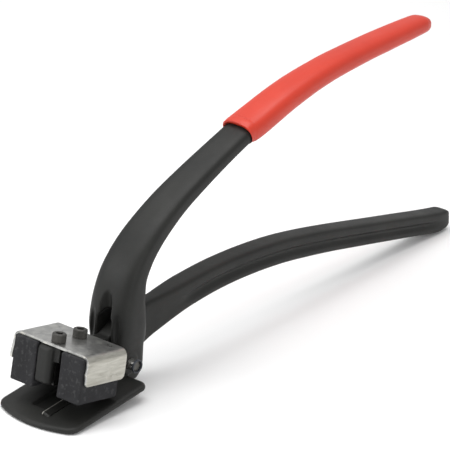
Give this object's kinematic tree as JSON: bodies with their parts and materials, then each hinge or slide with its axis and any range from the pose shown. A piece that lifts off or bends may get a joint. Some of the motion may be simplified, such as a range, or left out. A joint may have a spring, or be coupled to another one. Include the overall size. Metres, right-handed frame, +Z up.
{
  "type": "steel strapping cutter",
  "caption": "Two-handled hinged cutter for steel strapping, with a wide foot, shear blades, a sheet-metal hold-down bracket with rubber pads and one sleeved grip.",
  "frame": {"origin": "bottom centre of the bounding box with the jaw open as modelled, on the bench plane", "axes": "+X from the jaw towards the handle ends, +Z up, +Y to the bolt-head side of the pivot"},
  "size_m": [0.6042, 0.0916, 0.2372],
  "materials": {
    "black_forged_steel": "semi-matte black over forged steel",
    "zinc_sheet": "worn zinc-plated sheet",
    "zinc_fastener": "bright zinc plate",
    "black_oxide_fastener": "black oxide",
    "tool_steel": "dark ground tool steel",
    "black_rubber": "matte moulded rubber",
    "red_vinyl": "satin dipped vinyl",
    "bronze": "plain bronze",
    "nylon_ring": "plain nylon"
  },
  "bodies": {
    "foot_body": {"upper_handle_with_foot": "black_forged_steel", "grip_sleeve": "red_vinyl", "lower_blade": "tool_steel", "lower_blade_screw_1": "black_oxide_fastener", "lower_blade_screw_2": "black_oxide_fastener", "pivot_bolt": "black_oxide_fastener", "pivot_nut": "zinc_fastener", "nut_nylon_ring": "nylon_ring", "bolt_washer": "zinc_fastener", "thrust_washer_near": "bronze", "thrust_washer_far": "bronze"},
    "nose_body": {"lower_handle_with_nose": "black_forged_steel", "pad_bracket": "zinc_sheet", "pad_near": "black_rubber", "pad_far": "black_rubber", "upper_blade": "tool_steel", "upper_blade_screw_1": "black_oxide_fastener", "upper_blade_screw_2": "black_oxide_fastener", "bracket_screw_1": "black_oxide_fastener", "bracket_screw_2": "black_oxide_fastener", "pivot_bushing": "bronze"}
  },
  "joints": [
    {"name": "jaw_pivot", "type": "hinge", "parent": "foot_body", "child": "nose_body", "pos_m": [-0.19085, 0, 0.0268], "axis": [0, -1, 0], "range_deg": [-12, 14.5], "deforming": ["pad_near", "pad_far"]}
  ]
}
